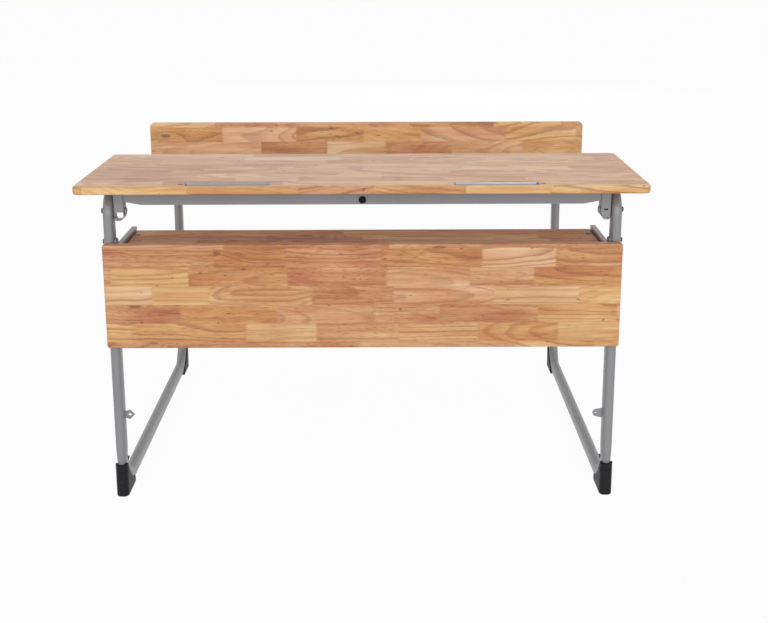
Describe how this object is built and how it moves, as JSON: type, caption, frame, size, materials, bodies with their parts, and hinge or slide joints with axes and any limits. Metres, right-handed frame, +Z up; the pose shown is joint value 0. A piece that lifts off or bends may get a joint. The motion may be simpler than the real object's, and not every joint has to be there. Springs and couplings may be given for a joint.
{
  "type": "school desk with bench",
  "caption": "Two-seat wooden school desk with a lifting top, book shelf and modesty panel, joined to a bench with a backrest by bent oval steel side frames on black corner shoes.",
  "frame": {"origin": "on the floor, at the middle of the whole object's outline", "axes": "+Z up, +X to the right along the top, -Y towards the modesty panel, +Y towards the bench"},
  "size_m": [1.228, 0.9782, 0.734],
  "materials": {
    "lacquered_wood": "clear gloss lacquer over finger-jointed blocks",
    "grey_steel": "satin grey powder coat",
    "black_plastic": "moulded black",
    "black_rubber": "soft black",
    "zinc_fasteners": "zinc plated",
    "tray_metal": "satin"
  },
  "bodies": {
    "base": {"modesty_panel": "lacquered_wood", "book_shelf": "lacquered_wood", "bench_seat": "lacquered_wood", "backrest_panel": "lacquered_wood", "left_side_frame": "grey_steel", "right_side_frame": "grey_steel", "left_shelf_rail": "grey_steel", "right_shelf_rail": "grey_steel", "left_eye_lug": "grey_steel", "right_eye_lug": "grey_steel", "left_seat_arm": "grey_steel", "right_seat_arm": "grey_steel", "left_seat_brace": "grey_steel", "right_seat_brace": "grey_steel", "front_seat_rail": "grey_steel", "rear_seat_rail": "grey_steel", "left_front_shoe": "black_plastic", "right_front_shoe": "black_plastic", "left_rear_shoe": "black_plastic", "right_rear_shoe": "black_plastic", "left_arm_plug": "black_plastic", "right_arm_plug": "black_plastic", "left_upright_plug": "black_plastic", "right_upright_plug": "black_plastic", "seat_arm_plugs": "black_plastic", "shelf_rail_caps": "black_plastic", "lid_rest_pads": "black_rubber", "left_hinge_pin": "zinc_fasteners", "right_hinge_pin": "zinc_fasteners", "hinge_nuts": "zinc_fasteners", "hinge_washers": "zinc_fasteners", "panel_bolts": "zinc_fasteners", "panel_saddle_washers": "zinc_fasteners", "shelf_screws": "zinc_fasteners", "shelf_rail_bolts": "zinc_fasteners", "seat_screws": "zinc_fasteners", "backrest_bolts": "zinc_fasteners", "backrest_saddle_washers": "zinc_fasteners"},
    "lid": {"desktop": "lacquered_wood", "lid_channel": "grey_steel", "lid_bumper": "black_rubber", "lid_screws": "zinc_fasteners", "left_hinge_bracket": "grey_steel", "right_hinge_bracket": "grey_steel", "left_pen_tray": "tray_metal", "right_pen_tray": "tray_metal"}
  },
  "joints": [
    {"name": "lid_hinge", "type": "hinge", "parent": "base", "child": "lid", "pos_m": [0, -0.38661, 0.661], "axis": [1, 0, 0], "range_deg": [0, 90]}
  ]
}
